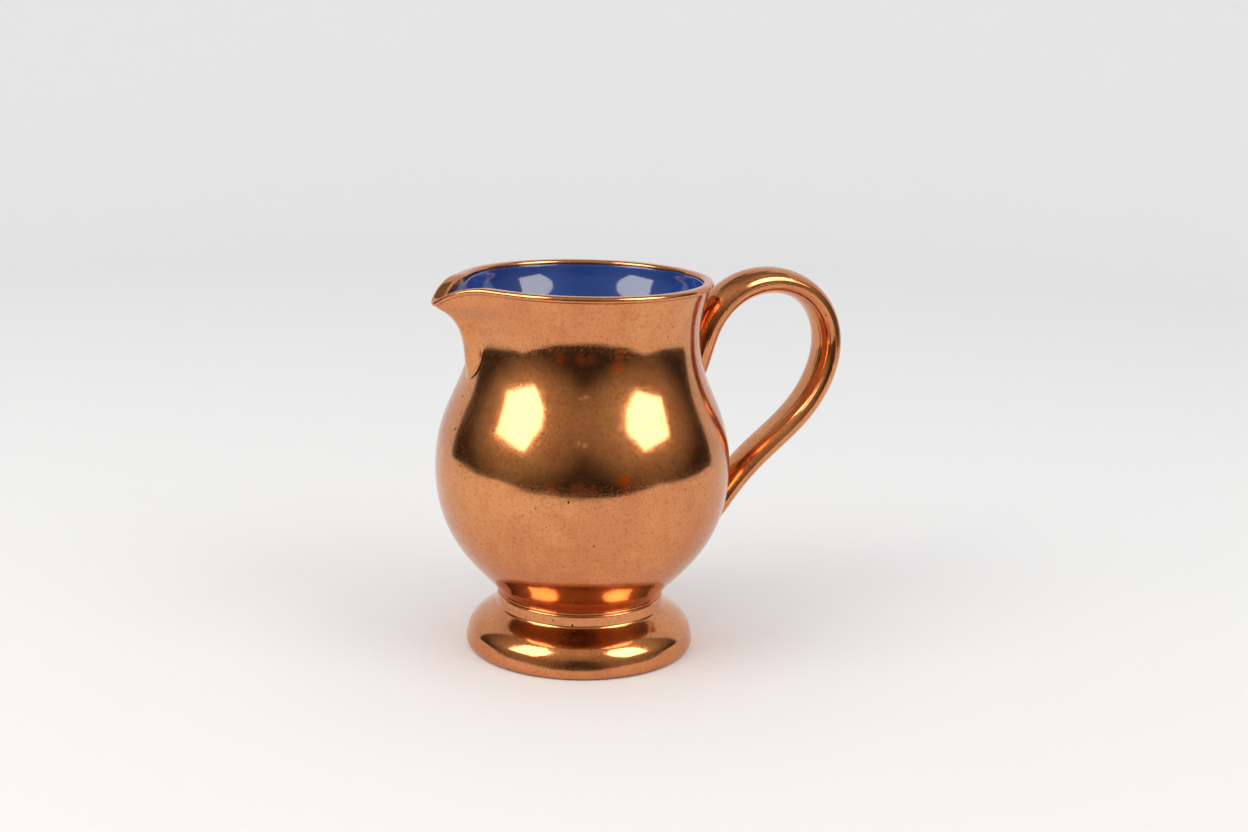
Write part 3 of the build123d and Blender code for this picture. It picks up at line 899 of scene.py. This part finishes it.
pull = bpy.data.node_groups.new("pulled_strap", "GeometryNodeTree")
pull.interface.new_socket("Geometry", in_out="INPUT", socket_type="NodeSocketGeometry")
lines_in = pull.interface.new_socket("Line depth", in_out="INPUT", socket_type="NodeSocketFloat")
clay_in = pull.interface.new_socket("Material", in_out="INPUT", socket_type="NodeSocketMaterial")
pull.interface.new_socket("Geometry", in_out="OUTPUT", socket_type="NodeSocketGeometry")
given = add_node(pull, "NodeGroupInput")
line = add_node(pull, "GeometryNodeMeshToCurve", inputs={0: given.outputs["Geometry"]}).outputs[0]
STRAP_AROUND, STRAP_ALONG = 145, 300
sheet = add_node(pull, "GeometryNodeMeshGrid", inputs={
    "Size X": 1.0, "Size Y": 1.0, "Vertices X": STRAP_AROUND, "Vertices Y": STRAP_ALONG})
spot = add_node(pull, "ShaderNodeSeparateXYZ", inputs={0: add_node(pull, "GeometryNodeInputPosition").outputs[0]})
turn = sum_of(pull, "MULTIPLY", sum_of(pull, "ADD", spot.outputs["X"], 0.5), 2 * math.pi)
row = sum_of(pull, "ROUND", sum_of(pull, "MULTIPLY", sum_of(pull, "ADD", spot.outputs["Y"], 0.5),
                                   float(STRAP_ALONG - 1)))


def on_line(kind, value):
    return add_node(pull, "GeometryNodeSampleIndex", {"data_type": kind, "domain": "POINT"}, {
        "Geometry": line, "Value": value, "Index": row}).outputs[0]


def named(name):
    return add_node(pull, "GeometryNodeInputNamedAttribute", {"data_type": "FLOAT"}, {"Name": name}).outputs[0]


middle = on_line("FLOAT_VECTOR", add_node(pull, "GeometryNodeInputPosition").outputs[0])
heading = on_line("FLOAT_VECTOR", add_node(pull, "GeometryNodeInputTangent").outputs[0])
half_thick, half_wide = on_line("FLOAT", named("half_thickness")), on_line("FLOAT", named("half_width"))
outwards = add_node(pull, "ShaderNodeVectorMath", {"operation": "CROSS_PRODUCT"}, {
    0: heading, 1: (0.0, 1.0, 0.0)}).outputs[0]
cosine, sine = sum_of(pull, "COSINE", turn), sum_of(pull, "SINE", turn)
seed = add_node(pull, "ShaderNodeCombineXYZ", inputs={
    0: sum_of(pull, "MULTIPLY", cosine, 7.0), 1: sum_of(pull, "MULTIPLY", sine, 7.0),
    2: sum_of(pull, "MULTIPLY", spot.outputs["Y"], 2.2)}).outputs[0]
streak = add_node(pull, "ShaderNodeTexNoise", inputs={"Vector": seed, "Scale": 1.0, "Detail": 3.0}).outputs["Fac"]
raised = sum_of(pull, "MULTIPLY", sum_of(pull, "SUBTRACT", streak, 0.66), given.outputs["Line depth"])
offset_side = sum_of(pull, "MULTIPLY", cosine, sum_of(pull, "ADD", half_wide, raised))
offset_out = sum_of(pull, "MULTIPLY", sine, sum_of(pull, "ADD", half_thick, raised))
part_out = add_node(pull, "ShaderNodeVectorMath", {"operation": "SCALE"}, {0: outwards, "Scale": offset_out}).outputs[0]
part_side = add_node(pull, "ShaderNodeCombineXYZ", inputs={1: offset_side}).outputs[0]
landed = add_node(pull, "ShaderNodeVectorMath", {"operation": "ADD"}, {0: middle, 1: part_out}).outputs[0]
landed = add_node(pull, "ShaderNodeVectorMath", {"operation": "ADD"}, {0: landed, 1: part_side}).outputs[0]
moved = add_node(pull, "GeometryNodeSetPosition", inputs={"Geometry": sheet.outputs[0], "Position": landed})
real = add_node(pull, "GeometryNodeRealizeInstances", inputs={0: moved.outputs[0]})
dressed = add_node(pull, "GeometryNodeSetMaterial", inputs={
    "Geometry": real.outputs[0], "Material": given.outputs["Material"]})
add_node(pull, "NodeGroupOutput", inputs={0: dressed.outputs[0]})
baked(handle, pull, {lines_in: 0.00028, clay_in: lustre})

strap_points = np.zeros(len(handle.data.vertices) * 3)
handle.data.vertices.foreach_get("co", strap_points)
strap_points = strap_points.reshape(STRAP_AROUND, STRAP_ALONG, 3)[:-1] / MM


def clearance(points):
    """How far points are outside the bowl's wall, in millimetres."""
    return np.hypot(points[..., 0], points[..., 1]) - np.interp(points[..., 2], outside[:, 1], outside[:, 0])


# the ends stop inside the bowl's wall
STRAP_SUNK = 1.2
bare = strap_points.copy()
gap = clearance(strap_points)
excess = np.maximum(-STRAP_SUNK - gap, 0)
scale = 1 + excess / np.hypot(strap_points[..., 0], strap_points[..., 1])
strap_points[..., :2] *= scale[..., None]
rows = [strap_points[:, k] * MM for k in range(STRAP_ALONG)]
faces = stitched(rows, True, STRAP_AROUND - 1)
last_row = (STRAP_ALONG - 1) * (STRAP_AROUND - 1)
faces += [tuple(range(STRAP_AROUND - 1)), tuple(range(last_row, last_row + STRAP_AROUND - 1))]
swept = handle
handle = mesh_object("pulled_strap_handle", np.vstack(rows), faces, lustre)
bpy.data.objects.remove(swept)
face_outwards(handle)
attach(handle, "root")
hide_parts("handle")


# ---------------------------------------------------------------------------------------------------
# Slip at the handle's ends: the strap is pushed on to the leather-hard wall over wet slip. A thin roll
# is pressed in round both joints and wiped to a smooth hollow, then glazed and lustred with the rest.
JOINT_REACH = 1.5                       # how far the slip is wiped out on strap and wall
JOINT_DEPTH = 0.7                       # how far it goes into the wall
def wiped_joint(name, node_name, forwards):
    """A hollow-faced bead of slip along the line where the handle enters the bowl."""
    order = list(range(STRAP_ALONG))[::1 if forwards else -1]
    start = order.index(STRAP_ALONG // 2)
    rings = []
    for j in range(STRAP_AROUND - 1):
        line = bare[j, order[start:]]
        off = clearance(line)
        hit = int(np.argmax(off < 0))
        share = off[hit - 1] / (off[hit - 1] - off[hit])
        joint = line[hit - 1] + share * (line[hit] - line[hit - 1])
        near = int(np.argmax(off < JOINT_REACH))
        share = (off[near - 1] - JOINT_REACH) / (off[near - 1] - off[near])
        on_strap = line[near - 1] + share * (line[near] - line[near - 1])
        centre = bare[:, order[start + hit]].mean(0)
        slope = np.array([joint[0], joint[1], 0.0]) / np.hypot(joint[0], joint[1])
        lean = np.interp(joint[2] + 0.5, outside[:, 1], outside[:, 0]) - np.interp(
            joint[2] - 0.5, outside[:, 1], outside[:, 0])
        normal = slope - np.array([0, 0, lean])
        normal /= np.linalg.norm(normal)
        away = joint - centre
        away -= normal * (away @ normal)
        away /= np.linalg.norm(away)
        on_wall = joint + away * JOINT_REACH
        turn = math.atan2(on_wall[1], on_wall[0])
        r = np.interp(on_wall[2], outside[:, 1], outside[:, 0]) - 0.04
        on_wall = np.array([r * math.cos(turn), r * math.sin(turn), on_wall[2]])
        on_strap = on_strap + (bare[:, order[start + near]].mean(0) - on_strap) * 0.012
        t = np.linspace(0, 1, 11)[:, None]
        hollow = (1 - t) ** 2 * on_strap + 2 * t * (1 - t) * (joint + 0.12 * normal) + t ** 2 * on_wall
        rings.append(np.vstack([hollow, joint - JOINT_DEPTH * normal]))
    rings = np.array(rings)
    for _ in range(3):
        rings = (np.roll(rings, 1, 0) + 2 * rings + np.roll(rings, -1, 0)) / 4
    n, m = rings.shape[:2]
    faces = [(i * m + j, i * m + (j + 1) % m, ((i + 1) % n) * m + (j + 1) % m, ((i + 1) % n) * m + j)
             for i in range(n) for j in range(m)]
    made = mesh_object(name, rings.reshape(-1, 3) * MM, faces, lustre)
    face_outwards(made)
    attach(made, "root")
    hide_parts(node_name)
    return made


wiped_joint("slip_at_handle_top", "handle_upper_luting", False)
wiped_joint("slip_at_handle_tail", "handle_lower_luting", True)
